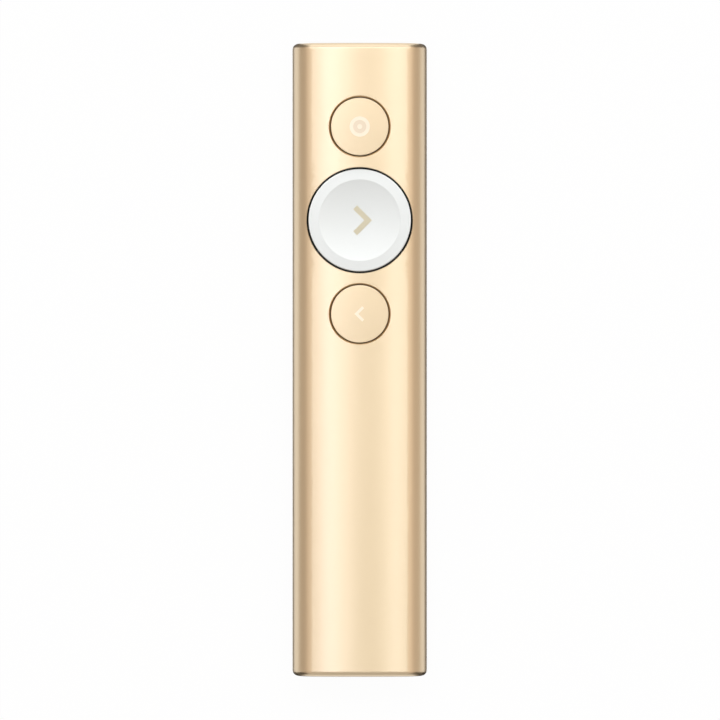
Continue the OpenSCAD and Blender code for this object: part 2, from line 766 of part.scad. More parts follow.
module receiver_housing() color(ink) difference() {
  cap_y = mouth_y + receiver_cap_t;
  under_z = bay_z - receiver_h / 2;
  along_y(round_rect(receiver_w, receiver_h, receiver_corner_r), cap_y, plug_root_y, bay_z);
  along_y(round_rect(receiver_w - 2 * receiver_wall, receiver_h - 2 * receiver_wall, receiver_corner_r / 2),
    mouth_y - past, plug_root_y - receiver_wall, bay_z);
  along_y(round_rect(plug_w + snug, plug_h + snug, plug_corner_r),
    plug_root_y - past, plug_root_y + past, bay_z);
  for (i = [0:groove_count - 1]) translate([0, cap_y + groove_inset + i * groove_pitch, under_z])
    block([-groove_l / 2, 0, -past], [groove_l / 2, groove_w, groove_depth]);
}

module receiver_end_cap() color(gold) {
  along_y(round_rect(receiver_w, receiver_h, receiver_corner_r), mouth_y, mouth_y + receiver_cap_t, bay_z);
  spigot = 2 * receiver_wall + snug;
  along_y(round_rect(receiver_w - spigot, receiver_h - spigot, receiver_corner_r / 2),
    mouth_y + receiver_cap_t - sliver, mouth_y + receiver_cap_t + spigot_l, bay_z);
}

module receiver_plug_shell() color(steel) difference() {
  along_y(round_rect(plug_w, plug_h, plug_corner_r), plug_root_y - plug_hold, plug_tip_y, bay_z);
  along_y(round_rect(plug_w - 2 * plug_wall, plug_h - 2 * plug_wall, plug_corner_r - plug_wall),
    plug_root_y - plug_hold - past, plug_tip_y + past, bay_z);
}

module receiver_tongue() color("white")
  block([-tongue_w / 2, plug_root_y - plug_hold, tongue_top - tongue_h],
    [tongue_w / 2, plug_tip_y - tongue_inset, tongue_top]);

module receiver_contacts() color("Goldenrod") for (i = [-1.5:1.5])
  translate([i * contact_pitch, 0, tongue_top - tongue_h])
    block([-contact_w / 2, receiver_board_y1 - contact_inset, -contact_t],
      [contact_w / 2, plug_tip_y - contact_inset, 0]);

module receiver_board() color("DarkSlateGray")
  block([-receiver_board_w / 2, receiver_board_y0, receiver_board_top - receiver_board_t],
    [receiver_board_w / 2, receiver_board_y1, receiver_board_top]);

module receiver_chip() color(ink)
  translate([-receiver_chip_w / 2, receiver_board_y0 + receiver_chip_inset, receiver_board_top])
    cube([receiver_chip_w, receiver_chip_w, receiver_chip_h]);

// ---- Screws ----

module case_screws() color(steel) for (side = [-1, 1], y = boss_ys)
  translate([side * boss_x, y, chassis_z]) screw(screw_d, screw_l, screw_head_r);

module bay_screws() color(steel) for (side = [-1, 1])
  translate([side * ear_screw_x, ear_screw_y, board_top + ear_t]) mirror([0, 0, 1])
    screw(screw_d, bay_screw_l, screw_head_r);

module frame_screws() color(steel) for (side = [-1, 1], y = frame_leg_ys)
  translate([side * frame_leg_x, y, membrane_z]) mirror([0, 0, 1])
    screw(frame_screw_d, frame_screw_l, frame_head_r);

// ---- Nodes ----

front_shell();
rear_shell();
antenna_window();
bay_bezel();
rear_tape();
chassis();
main_board();
button_frame();
frame_screws();
keypad_membrane();
small_cap(pointer_y);  // pointer_cap
small_keyplate(pointer_y);  // pointer_keyplate
stem(pointer_y);  // pointer_stem
dome(pointer_y);  // pointer_dome
switch_base(pointer_y);  // pointer_switch_base
switch_cover(pointer_y);  // pointer_switch_cover
next_cap();
next_keyplate();
stem(next_y);  // next_stem
dome(next_y);  // next_dome
switch_base(next_y);  // next_switch_base
switch_cover(next_y);  // next_switch_cover
small_cap(back_y);  // back_cap
small_keyplate(back_y);  // back_keyplate
stem(back_y);  // back_stem
dome(back_y);  // back_dome
switch_base(back_y);  // back_switch_base
switch_cover(back_y);  // back_switch_cover
controller_chip();
motion_sensor();
shield_can();
antenna();
battery_cell();
battery_pad();
battery_leads();
battery_connector();
haptic_motor();
motor_pad();
motor_leads();
charge_port();
charge_port_tongue();
bay_sleeve();
bay_spring();
bay_screws();
case_screws();
receiver_housing();
receiver_end_cap();
receiver_plug_shell();
receiver_tongue();
receiver_contacts();
receiver_board();
receiver_chip();
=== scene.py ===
import math
from collections import namedtuple

import bpy
from mathutils import Matrix, Vector


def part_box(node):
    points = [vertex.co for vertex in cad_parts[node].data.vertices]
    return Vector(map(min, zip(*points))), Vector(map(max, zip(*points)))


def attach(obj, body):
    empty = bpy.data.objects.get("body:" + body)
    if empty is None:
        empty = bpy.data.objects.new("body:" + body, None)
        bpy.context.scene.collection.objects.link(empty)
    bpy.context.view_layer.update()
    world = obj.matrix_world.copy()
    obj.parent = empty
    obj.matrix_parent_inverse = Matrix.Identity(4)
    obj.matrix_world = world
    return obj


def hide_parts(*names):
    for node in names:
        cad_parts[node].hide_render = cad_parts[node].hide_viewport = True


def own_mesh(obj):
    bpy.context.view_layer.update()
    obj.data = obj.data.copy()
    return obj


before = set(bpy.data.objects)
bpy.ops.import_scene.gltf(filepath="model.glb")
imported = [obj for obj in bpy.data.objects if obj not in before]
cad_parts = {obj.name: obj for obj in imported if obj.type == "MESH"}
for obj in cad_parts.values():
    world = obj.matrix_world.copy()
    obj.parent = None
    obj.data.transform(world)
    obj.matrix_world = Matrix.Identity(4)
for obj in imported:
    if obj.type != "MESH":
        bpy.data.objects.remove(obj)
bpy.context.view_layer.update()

MM = 0.001


def mm_box(node):
    """Lowest and highest corner of a node of the frame, in millimetres."""
    low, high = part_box(node)
    return low / MM, high / MM


def middle_y(node):
    """Where along the case the middle of a node lies."""
    low, high = mm_box(node)
    return (low.y + high.y) / 2


def cap_radius(node):
    """Radius of a round cap."""
    low, high = mm_box(node)
    return (high.x - low.x) / 2


# ---- Sizes in millimetres ----

HALF_W, HALF_L, BODY_T = mm_box("front_shell")[1]
CROWN_R = 70.0  # the front's crown, across the case
SHOULDER_R = 4.95  # the front's long edges
END_R = 1.25  # rounding of both ends
WALL = 1.0
SEAM_DROP = 0.4  # how far the joint line lies under the widest place
SEAM_GAP = 0.15
MOUTH_W, MOUTH_H, MOUTH_CORNER = 19.2, 7.7, 2.5  # opening in the tail for the receiver's bay
WINDOW_W, WINDOW_H = 16.1, 4.6  # round-ended opening in the tip for the antenna window
NOTCH_R, NOTCH_FLARE = 6.5, 0.3  # thumb notch in the back, and the rounding of its edge
LIP_T, LIP_SNUG = 0.4, 0.1  # the rear shell's lips, and their clearance in the front shell
LIP_INSET = 13.0  # from the end of the case to the end of a lip
LIP_DOWN, LIP_UP = 1.5, 0.8  # how far a lip reaches from the joint line
SCREW_HEAD_R = 1.15
BOSS_R, BOSS_TOP = 1.4, 10.55
PILOT_R, PILOT_RISE = 0.72, 2.4  # a boss's blind hole, and its height over the board

SMALL_GAP, NEXT_GAP = 0.15, 0.38  # around the small caps and the large one
SMALL_HOLE_BEVEL, NEXT_HOLE_BEVEL = 0.33, 0.1  # width of the bevels around their holes
HOLE_FALL = 1.3  # how far a hole's bevel falls for its width
CAP_BEVEL, CAP_FALL = 0.12, 0.42  # width of the small caps' bevel, and its fall for the width
BEVEL_FLAT = (0.12, 0.9)  # the part of a bevel's width that is quite flat
BEVEL_DROP = 0.02  # how far under a bevel the wall's own shading starts
SMALL_CROWN_R = 140.0  # the small caps' faint crown
DISH_R, DISH_DEPTH = 8.45, 0.85
DISH_CREASE_R = 0.5  # rounding between the dish and the rim
RIM_FALL = 0.1  # how far the large cap's rim falls to its edge
CAP_ROUND = 0.2  # rounding of the large cap's edge

CROWN_Z = BODY_T - CROWN_R
SHOULDER_X = HALF_W - SHOULDER_R
WIDEST_Z = CROWN_Z + math.sqrt((CROWN_R - SHOULDER_R) ** 2 - SHOULDER_X**2)
REAR_FLAT = HALF_W - WIDEST_Z
CROWN_TURN = math.asin(SHOULDER_X / (CROWN_R - SHOULDER_R))
CROWN_ARC = CROWN_R * CROWN_TURN
SEAM_Z = WIDEST_Z - SEAM_DROP
BAY_Z = sum(end.z for end in mm_box("antenna_window")) / 2

POINTER_Y, NEXT_Y, BACK_Y = (middle_y(cap) for cap in ("pointer_cap", "next_cap", "back_cap"))
SMALL_R, NEXT_R = cap_radius("pointer_cap"), cap_radius("next_cap")
CAP_TOP = mm_box("next_cap")[1].z
DISH_BALL_R = (DISH_R**2 + DISH_DEPTH**2) / (2 * DISH_DEPTH)
DISH_Z = CAP_TOP - DISH_DEPTH + DISH_BALL_R

# ---- Turning corners into meshes ----
# A corner is a point with the normal that the finished surface has there.


def facing(ring):
    """The way a ring of points faces, by Newell's sum."""
    total = Vector((0, 0, 0))
    for a, b in zip(ring, ring[1:] + ring[:1]):
        total += Vector(a).cross(Vector(b))
    return total


def make_solid(name, faces, material):
    """An object from faces of corners in millimetres; corners at one place share a point."""
    nudge = 0.000037  # keeps round sizes away from where the rounding turns over
    places, points, rings, normals = {}, [], [], []
    for face in faces:
        ring, looks = [], []
        for point, normal in face:
            key = tuple(round(c + nudge, 4) for c in point)
            if key not in places:
                places[key] = len(points)
                points.append(point)
            if places[key] not in ring:
                ring.append(places[key])
                looks.append(normal)
        if len(ring) < 3:
            continue
        outwards = sum((Vector(n) for n in looks), Vector())
        if facing([points[i] for i in ring]).dot(outwards) < 0:
            ring.reverse()
            looks.reverse()
        rings.append(ring)
        normals += looks
    mesh = bpy.data.meshes.new(name)
    mesh.from_pydata([[c * MM for c in p] for p in points], [], rings)
    mesh.shade_smooth()
    mesh.normals_split_custom_set(normals)
    mesh.materials.append(material)
    made = bpy.data.objects.new(name, mesh)
    bpy.context.scene.collection.objects.link(made)
    return made


def make_piece(name, faces, material, body, slot, *nodes):
    """A solid that rides on the body and stands for the nodes."""
    piece = make_solid(name, faces, material)
    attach(piece, body)
    if nodes:
        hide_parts(*nodes)
    return piece


def between(rows):
    """Faces that join each row of corners to the next."""
    return [
        [a[i], a[i + 1], b[i + 1], b[i]]
        for a, b in zip(rows, rows[1:])
        for i in range(len(a) - 1)
    ]


def level(corners, normal):
    """The same corners with one normal, for a flat face."""
    return [(point, normal) for point, _ in corners]


def lathe(profile, x, y, steps=144):
    """Turns a profile of (radius, z, outward normal, upward normal) about an upright axis."""
    rows = []
    for i in range(steps + 1):
        turn = math.tau * (i % steps) / steps
        c, s = math.cos(turn), math.sin(turn)
        rows.append([((x + r * c, y + r * s, z), (out * c, out * s, up)) for r, z, out, up in profile])
    return between(rows)


def rounding(centre, radius, start, end, steps):
    """Profile points on an arc; the angles are from straight up, outwards."""
    turns = [start + (end - start) * i / steps for i in range(steps + 1)]
    return [
        (centre[0] + radius * math.sin(a), centre[1] + radius * math.cos(a), math.sin(a), math.cos(a))
        for a in turns
    ]


# ---- The case's section ----
# A station is a place on the section: the centre of its arc, the arc's radius and its angle from
# straight up.


def station(arc):
    """The station at an arc length from the middle of the crown."""
    side = -1 if arc < 0 else 1
    if abs(arc) <= CROWN_ARC:
        return (0.0, CROWN_Z, CROWN_R, arc / CROWN_R)
    turn = CROWN_TURN + (abs(arc) - CROWN_ARC) / SHOULDER_R
    return (side * SHOULDER_X, WIDEST_Z, SHOULDER_R, side * turn)


def arc_length(place):
    """How far a station of the front lies from the middle of the crown."""
    x, _, radius, angle = place
    if radius == CROWN_R:
        return angle * CROWN_R
    return math.copysign(CROWN_ARC + (abs(angle) - CROWN_TURN) * SHOULDER_R, x)


def station_over(x, inset):
    """The station whose place, drawn in by inset, lies over x."""
    if abs(x) <= (CROWN_R - inset) * math.sin(CROWN_TURN):
        return (0.0, CROWN_Z, CROWN_R, math.asin(x / (CROWN_R - inset)))
    turn = math.asin((abs(x) - SHOULDER_X) / (SHOULDER_R - inset))
    return (math.copysign(SHOULDER_X, x), WIDEST_Z, SHOULDER_R, math.copysign(turn, x))


def edge_station(z, inset, side):
    """The station at the joint line's height, drawn in by inset."""
    turn = math.pi / 2 + math.asin((WIDEST_Z - z) / (WIDEST_Z - inset))
    return (side * REAR_FLAT, WIDEST_Z, WIDEST_Z, side * turn)


def corner(place, y, inset=0.0, lean=0.0):
    """A corner of the case; lean turns its normal towards +Y."""
    x, z, radius, angle = place
    s, c = math.sin(angle), math.cos(angle)
    point = (x + (radius - inset) * s, y, z + (radius - inset) * c)
    return point, (math.cos(lean) * s, math.sin(lean), math.cos(lean) * c)


def inward(corners):
    """The same corners with their normals turned round."""
    return [(point, tuple(-c for c in normal)) for point, normal in corners]


# ---- The two shells ----


class Opening:
    """A round-cornered opening in an end of the case."""

    def __init__(self, width, height, radius, z):
        self.half = (width / 2 - radius, height / 2 - radius)
        self.radius = radius
        self.z = z

    def away(self, x, z):
        """Distance outside the opening's edge, and the direction of it."""
        dx, dz = abs(x) - self.half[0], abs(z - self.z) - self.half[1]
        out = Vector((max(dx, 0.0), max(dz, 0.0)))
        if out.length == 0:
            out = Vector((1.0, 0.0)) if dx > dz else Vector((0.0, 1.0))
            gap = max(dx, dz) - self.radius
        else:
            gap = out.length - self.radius
            out.normalize()
        return gap, (math.copysign(out.x, x), math.copysign(out.y, z - self.z))

    def hit(self, x, z, start_z):
        """Where a line from (0, start_z) to (x, z) crosses the edge."""
        halvings = 50  # finer than a number can hold
        near, far = 0.0, 1.0
        for _ in range(halvings):
            half = (near + far) / 2
            if self.away(x * half, start_z + (z - start_z) * half)[0] < 0:
                near = half
            else:
                far = half
        return x * far, start_z + (z - start_z) * far


MOUTH = Opening(MOUTH_W, MOUTH_H, MOUTH_CORNER, BAY_Z)
WINDOW = Opening(WINDOW_W, WINDOW_H, WINDOW_H / 2, BAY_Z)


def case_row(places, edge_z, sides, y, inset=0.0, lean=0.0):
    """A row of corners from joint line to joint line."""
    ends = [edge_station(edge_z, inset, side) for side in sides]
    return [corner(p, y, inset, lean) for p in (ends[0], *places, ends[1])]


def shell_end(places, edge_z, sides, end, opening):
    """Rounded edge, end face, opening and inner face at one end; also the end's joint line."""
    steps = 10
    face_y, skin_y, inner_y = end * HALF_L, end * (HALF_L - END_R), end * (HALF_L - WALL)
    rows = []
    for i in range(steps + 1):
        turn = math.pi / 2 * i / steps
        y, inset = skin_y + end * END_R * math.sin(turn), END_R * (1 - math.cos(turn))
        rows.append(case_row(places, edge_z, sides, y, inset, end * turn))
    faces = between(rows)
    outline = rows[-1]
    lining = case_row(places, edge_z, sides, inner_y, WALL)
    rim_out, rim_in = [], []
    for (x, _, z), _ in outline:
        hx, hz = opening.hit(x, z, edge_z)
        nx, nz = opening.away(hx, hz)[1]
        rim_out.append(((hx, face_y, hz), (-nx, 0.0, -nz)))
        rim_in.append(((hx, inner_y, hz), (-nx, 0.0, -nz)))
    out, back = (0.0, end, 0.0), (0.0, -end, 0.0)
    faces += between([level(outline, out), level(rim_out, out)])
    faces += between([rim_out, rim_in])
    faces += between([level(rim_in, back), level(lining, back)])
    joint = []
    for k in (0, -1):
        rounded = [row[k][0] for row in reversed(rows)]
        joint.append([rim_out[k][0], *rounded, lining[k][0], rim_in[k][0]])
    return faces, joint


# The rows and columns of the skin whose place is taken by a round hole and what surrounds it
HolePatch = namedtuple("HolePatch", "y hole_r bevel first_row last_row first_column last_column")


def border(patch):
    """Row and column of each corner around a patch, with the first again at the end."""
    places = [(patch.first_row, i) for i in range(patch.first_column, patch.last_column)]
    places += [(j, patch.last_column) for j in range(patch.first_row, patch.last_row)]
    places += [(patch.last_row, i) for i in range(patch.last_column, patch.first_column, -1)]
    places += [(j, patch.first_column) for j in range(patch.last_row, patch.first_row, -1)]
    return [*places, places[0]]


def button_hole(grid, lining, row_ys, arcs, patch):
    """The skin around a round hole, the hole's bevel and wall, and the lining under it."""
    outside, inside = [], []
    for j, i in border(patch):
        arc, edge_y = arcs[i - 1], row_ys[j]
        turn = math.atan2(edge_y - patch.y, arc)
        c, s = math.cos(turn), math.sin(turn)
        reach = patch.hole_r + patch.bevel
        place = station_over(reach * c, 0.0)
        rim, skin = corner(place, patch.y + reach * s)
        ring_arc, ring_y = arc_length(place), patch.y + reach * s
        spoke = [grid[j][i]]
        for part in (0.25, 0.5, 0.75):
            stop = station(arc + (ring_arc - arc) * part)
            spoke.append(corner(stop, edge_y + (ring_y - edge_y) * part))
        rim, wall = Vector(rim), (-c, -s, 0.0)
        fall = Vector((-patch.bevel * c, -patch.bevel * s, -patch.bevel * HOLE_FALL))
        slope = tuple(Vector((-s, c, 0.0)).cross(fall).normalized())
        spoke.append((tuple(rim), skin))
        spoke += [(tuple(rim + fall * part), slope) for part in BEVEL_FLAT]
        spoke.append((tuple(rim + fall - Vector((0.0, 0.0, BEVEL_DROP))), wall))
        under = corner(station_over(patch.hole_r * c, WALL), patch.y + patch.hole_r * s, WALL)
        spoke.append((under[0], wall))
        outside.append(spoke)
        inside.append([*inward([under]), lining[j][i]])
    return between(outside) + between(inside)


def shell(places, arcs, row_ys, edge_z, sides, patches):
    """All faces of one shell."""
    grid = [case_row(places, edge_z, sides, y) for y in row_ys]
    deeper = END_R - WALL
    lining_ys = [row_ys[0] - deeper, *row_ys[1:-1], row_ys[-1] + deeper]
    lining = [inward(case_row(places, edge_z, sides, y, WALL)) for y in lining_ys]
    faces = []
    for j in range(len(row_ys) - 1):
        for i in range(len(grid[0]) - 1):
            if any(p.first_row <= j < p.last_row and p.first_column <= i < p.last_column for p in patches):
                continue
            for rows in (grid, lining):
                faces.append([rows[j][i], rows[j][i + 1], rows[j + 1][i + 1], rows[j + 1][i]])
    for patch in patches:
        faces += button_hole(grid, lining, row_ys, arcs, patch)
    toward = (0.0, 0.0, -1.0 if sides[0] < 0 else 1.0)
    tail, tail_joint = shell_end(places, edge_z, sides, -1, MOUTH)
    tip, tip_joint = shell_end(places, edge_z, sides, 1, WINDOW)
    faces += tail + tip
    for k in (0, -1):
        skin_edge, lining_edge = [row[k] for row in grid], [row[k] for row in lining]
        faces += between([level(skin_edge, toward), level(lining_edge, toward)])
        faces.append([(point, toward) for point in tail_joint[k]])
        faces.append([(point, toward) for point in tip_joint[k]])
    return faces


def front_shell_faces():
    """The crowned front half with its three button holes and the screw bosses inside."""
    crown_steps, shoulder_steps = 16, 30
    shoulder_arc = SHOULDER_R * (math.pi / 2 - CROWN_TURN)
    half = [CROWN_ARC * i / crown_steps for i in range(crown_steps + 1)]
    half += [CROWN_ARC + shoulder_arc * i / shoulder_steps for i in range(1, shoulder_steps + 1)]
    arcs = [-a for a in reversed(half[1:])] + half
    middle = crown_steps + shoulder_steps + 1
    # Half the length of each patch, so that the three meet
    next_reach = 12.1
    small_reach = (NEXT_Y - BACK_Y) - next_reach
    # Radius, bevel, half length, rows, and columns on each side of the middle
    small_hole = (SMALL_R + SMALL_GAP, SMALL_HOLE_BEVEL, small_reach, 20, 12)
    next_hole = (NEXT_R + NEXT_GAP, NEXT_HOLE_BEVEL, next_reach, 32, 29)
    # Rows of corners along the case, few where it is plain
    row_ys, patches = [-(HALF_L - END_R), -45.0, -30.0, -15.0], []
    for y, hole in ((BACK_Y, small_hole), (NEXT_Y, next_hole), (POINTER_Y, small_hole)):
        hole_r, bevel, reach, rows, columns = hole
        if not math.isclose(row_ys[-1], y - reach, abs_tol=1e-6):
            row_ys.append(y - reach)
        first = len(row_ys) - 1
        row_ys += [y - reach + 2 * reach * k / rows for k in range(1, rows + 1)]
        patches.append(HolePatch(y, hole_r, bevel, first, first + rows, middle - columns, middle + columns))
    row_ys += [60.0, HALF_L - END_R]
    places = [station(arc) for arc in arcs]
    faces = shell(places, arcs, row_ys, SEAM_Z + SEAM_GAP / 2, (-1, 1), patches)
    low, high = mm_box("case_screws")
    for x in (low.x + SCREW_HEAD_R, high.x - SCREW_HEAD_R):
        for y in (low.y + SCREW_HEAD_R, (NEXT_Y + BACK_Y) / 2, high.y - SCREW_HEAD_R):
            faces += screw_boss(x, y)
    return faces


def screw_boss(x, y):
    """A boss under the front, with its blind pilot hole."""
    board_low, board_high = mm_box("main_board")
    foot, hole_top = board_low.z, board_high.z + PILOT_RISE
    rings = [
        [(PILOT_R, foot, 0, -1), (BOSS_R, foot, 0, -1)],
        [(BOSS_R, foot, 1, 0), (BOSS_R, BOSS_TOP, 1, 0)],
        [(BOSS_R, BOSS_TOP, 0, 1), (0, BOSS_TOP, 0, 1)],
        [(0, hole_top, 0, -1), (PILOT_R, hole_top, 0, -1)],
        [(PILOT_R, hole_top, -1, 0), (PILOT_R, foot, -1, 0)],
    ]
    return [face for ring in rings for face in lathe(ring, x, y, 32)]


def rear_shell_faces():
    """The rear half with its flat back."""
    arc_steps, flat_steps = 26, 12
    first_turn = math.pi / 2 + math.radians(6)  # a little past the joint line
    turns = [first_turn + (math.pi - first_turn) * i / arc_steps for i in range(arc_steps + 1)]
    places = [(REAR_FLAT, WIDEST_Z, WIDEST_Z, turn) for turn in turns]
    flats = [REAR_FLAT - 2 * REAR_FLAT * i / flat_steps for i in range(1, flat_steps)]
    places += [(x, WIDEST_Z, WIDEST_Z, math.pi) for x in flats]
    places += [(-REAR_FLAT, WIDEST_Z, WIDEST_Z, -turn) for turn in reversed(turns)]
    row_ys = [-(HALF_L - END_R), -57.0, -30.0, 0.0, 30.0, HALF_L - END_R]
    return shell(places, [], row_ys, SEAM_Z - SEAM_GAP / 2, (1, -1), [])


def block(low, high):
    """Faces of a plain block between two corners."""
    faces = []
    for axis in range(3):
        a, b = (axis + 1) % 3, (axis + 2) % 3
        for value, sign in ((low[axis], -1), (high[axis], 1)):
            normal = [0, 0, 0]
            normal[axis] = sign
            face = []
            for u, v in ((low[a], low[b]), (high[a], low[b]), (high[a], high[b]), (low[a], high[b])):
                point = [0, 0, 0]
                point[axis], point[a], point[b] = value, u, v
                face.append((tuple(point), tuple(normal)))
            faces.append(face)
    return faces


def case_normal(point, out):
    """The normal of the case's skin over a point in millimetres."""
    x, y, z = point
    side = math.copysign(1.0, x)
    if z >= WIDEST_Z and abs(math.atan2(x, z - CROWN_Z)) <= CROWN_TURN:
        way = Vector((x, 0, z - CROWN_Z))
    elif z >= WIDEST_Z:
        way = Vector((x - side * SHOULDER_X, 0, z - WIDEST_Z))
    elif abs(x) > REAR_FLAT:
        way = Vector((x - side * REAR_FLAT, 0, z - WIDEST_Z))
    else:
        way = Vector((0, 0, -1))
    way.normalize()
    past = abs(y) - (HALF_L - END_R)
    if out and past > 0:
        lean = math.asin(min(1.0, past / END_R))
        way = way * math.cos(lean) + Vector((0, math.copysign(math.sin(lean), y), 0))
    return way if out else -way


def notch_profile():
    """Half the notch's section, with its edge flared at the back."""
    steps = 6
    wide_r = NOTCH_R + NOTCH_FLARE
    profile = [(0, -1, 0, -1), (wide_r, -1, 0, -1), (wide_r, 0, 1, 0)]
    for i in range(1, steps + 1):
        turn = math.pi / 2 * i / steps
        flare_r = NOTCH_R + NOTCH_FLARE * (1 - math.sin(turn))
        profile.append((flare_r, NOTCH_FLARE * (1 - math.cos(turn)), 1, 0))
    return profile + [(NOTCH_R, BAY_Z, 1, 0), (0, BAY_Z, 0, 1)]


def cut_notch(piece):
    """Cuts the thumb notch into the tail's back, and gives the cut shell its smooth look again."""
    cutter = make_solid("notch_cutter", lathe(notch_profile(), 0, -HALF_L, 128), piece.data.materials[0])
    change = piece.modifiers.new("notch", "BOOLEAN")
    change.object = cutter
    change.operation = "DIFFERENCE"
    change.solver = "EXACT"
    bpy.context.view_layer.update()
    cut = piece.evaluated_get(bpy.context.evaluated_depsgraph_get())
    mesh = bpy.data.meshes.new_from_object(cut)
    piece.modifiers.clear()
    piece.data = mesh
    bpy.data.objects.remove(cutter)

    # A face that turns nearly as the skin, the lining or the notch's wall does takes its normals.
    like_skin, like_notch = 0.985, 0.98
    normals = []
    for face in mesh.polygons:
        points = [mesh.vertices[i].co / MM for i in face.vertices]
        centre = face.center / MM
        radial = Vector((-centre.x, -HALF_L - centre.y, 0))
        chosen = None
        for looks in ([case_normal(p, True) for p in points], [case_normal(p, False) for p in points]):
            if sum(looks, Vector()).normalized().dot(face.normal) > like_skin:
                chosen = looks
                break
        in_notch = radial.length < NOTCH_R + 0.01 and radial.normalized().dot(face.normal) > like_notch
        if chosen is None and in_notch:
            chosen = [Vector((-p.x, -HALF_L - p.y, 0)).normalized() for p in points]
        normals += chosen or [face.normal.copy() for _ in points]
    mesh.shade_smooth()
    mesh.normals_split_custom_set(normals)


# ---- The caps and their symbols ----


def small_cap_profile():
    """A disc with a faint crown and a bevelled edge."""
    inner_r = SMALL_R - CAP_BEVEL
    lean = math.asin(inner_r / SMALL_CROWN_R)
    profile = rounding((0.0, CAP_TOP - SMALL_CROWN_R), SMALL_CROWN_R, 0.0, lean, 8)
    edge_z = profile[-1][1]
    slope = math.atan(CAP_FALL)
    for part in BEVEL_FLAT:
        place = (inner_r + part * CAP_BEVEL, edge_z - part * CAP_BEVEL * CAP_FALL)
        profile.append((*place, math.sin(slope), math.cos(slope)))
    profile.append((SMALL_R, edge_z - CAP_BEVEL * CAP_FALL - BEVEL_DROP, 1, 0))
    foot = mm_box("pointer_cap")[0].z
    return [profile + [(SMALL_R, foot, 1, 0)], [(SMALL_R, foot, 0, -1), (0, foot, 0, -1)]]


def next_cap_profile():
    """A dished disc whose rim falls outwards, with a soft crease between them and a rounded edge."""
    steps = 24
    under_top = 0.004  # keeps the crease just under the cap's top
    dish_lean = math.asin(DISH_R / DISH_BALL_R)
    rim_lean = math.atan(RIM_FALL / (NEXT_R - CAP_ROUND - DISH_R))
    depth = DISH_CREASE_R / math.cos((dish_lean + rim_lean) / 2)
    way = (rim_lean - dish_lean) / 2
    top = CAP_TOP + depth - DISH_CREASE_R - under_top
    centre = (DISH_R - depth * math.sin(way), top - depth * math.cos(way))
    lean = math.asin((centre[0] - DISH_CREASE_R * math.sin(dish_lean)) / DISH_BALL_R)
    profile = []
    for i in range(steps + 1):
        turn = lean * i / steps
        s, c = math.sin(turn), math.cos(turn)
        profile.append((DISH_BALL_R * s, DISH_Z - DISH_BALL_R * c, -s, c))
    profile += rounding(centre, DISH_CREASE_R, -lean, rim_lean, 8)[1:]
    rim_z = profile[-1][1] - (NEXT_R - CAP_ROUND - profile[-1][0]) * math.tan(rim_lean)
    profile += rounding((NEXT_R - CAP_ROUND, rim_z - CAP_ROUND), CAP_ROUND, rim_lean, math.pi / 2, 8)
    foot = mm_box("next_cap")[0].z
    return [profile + [(NEXT_R, foot, 1, 0)], [(NEXT_R, foot, 0, -1), (0, foot, 0, -1)]]


def on_small_cap(x, y):
    """Height of a small cap's top, from its middle."""
    return CAP_TOP - SMALL_CROWN_R + math.sqrt(SMALL_CROWN_R**2 - x * x - y * y)


def in_dish(x, y):
    """Height of the large cap's dish, from its middle."""
    return DISH_Z - math.sqrt(DISH_BALL_R**2 - x * x - y * y)


def symbol(name, button, y, surface, lines, material):
    """A thin inlay between two edge lines, which follows the surface of the cap that it is in."""
    proud, deep = 0.012, 0.06
    up, down = (0.0, 0.0, 1.0), (0.0, 0.0, -1.0)

    def place(point, rise):
        return (point[0], y + point[1], surface(*point) + rise)

    tops = [[(place(p, proud), up) for p in line] for line in lines]
    bottoms = [[(place(p, -deep), down) for p in line] for line in lines]
    faces = between(tops) + between(bottoms)
    for top, bottom, line, other in zip(tops, bottoms, lines, reversed(lines)):
        looks = []
        for p, q in zip(line, other):
            way = Vector((p[0] - q[0], p[1] - q[1], 0))
            looks.append(tuple(way.normalized()) if way.length > 1e-6 else up)
        faces += between([[(c[0], n) for c, n in zip(row, looks)] for row in (top, bottom)])
    left = lines[0]
    if left[0] != left[-1]:
        for end, inner in ((0, 1), (-1, -2)):
            ring = [tops[0][end][0], tops[1][end][0], bottoms[1][end][0], bottoms[0][end][0]]
            way = Vector(left[end]) - Vector(left[inner])
            faces.append([(p, (way.x, way.y, 0.0)) for p in ring])
    return make_piece(name, faces, material, f"{button}_button", "gold_aluminium")


def along(stops, steps=10):
    """Points along straight arms from stop to stop."""
    points = [stops[0]]
    for a, b in zip(stops, stops[1:]):
        for i in range(1, steps + 1):
            part = i / steps
            points.append((a[0] + (b[0] - a[0]) * part, a[1] + (b[1] - a[1]) * part))
    return points


def chevron(apex, reach, stroke, toward):
    """The two edge lines of a chevron with arms at 45 degrees; toward is 1 or -1 along X."""
    root = stroke * math.sqrt(2)
    cut = root / 2
    tail = apex - toward * reach
    outer = [(tail, reach), (apex, 0.0), (tail, -reach)]
    inner_tail = tail - toward * cut
    inner = [(inner_tail, reach - cut), (apex - toward * root, 0.0), (inner_tail, cut - reach)]
    return along(outer), along(inner)


def circle(radius, steps=64):
    """Points around a circle, with the first again at the end."""
    turns = [math.tau * (i % steps) / steps for i in range(steps + 1)]
    return [(radius * math.cos(turn), radius * math.sin(turn)) for turn in turns]


# ---- Finishes ----


def linear(code):
    """The linear colour of an sRGB hex value."""
    parts = [int(code[i : i + 2], 16) / 255 for i in (0, 2, 4)]
    return (*[c / 12.92 if c <= 0.04045 else ((c + 0.055) / 1.055) ** 2.4 for c in parts], 1.0)


def node(tree, kind, inputs=None, **settings):
    """Adds a node with its settings; an input is a value or another node's output."""
    new = tree.nodes.new("ShaderNode" + kind)
    for key, value in settings.items():
        setattr(new, key, value)
    for key, value in (inputs or {}).items():
        if isinstance(value, bpy.types.NodeSocket):
            tree.links.new(value, new.inputs[key])
        else:
            new.inputs[key].default_value = value
    return new


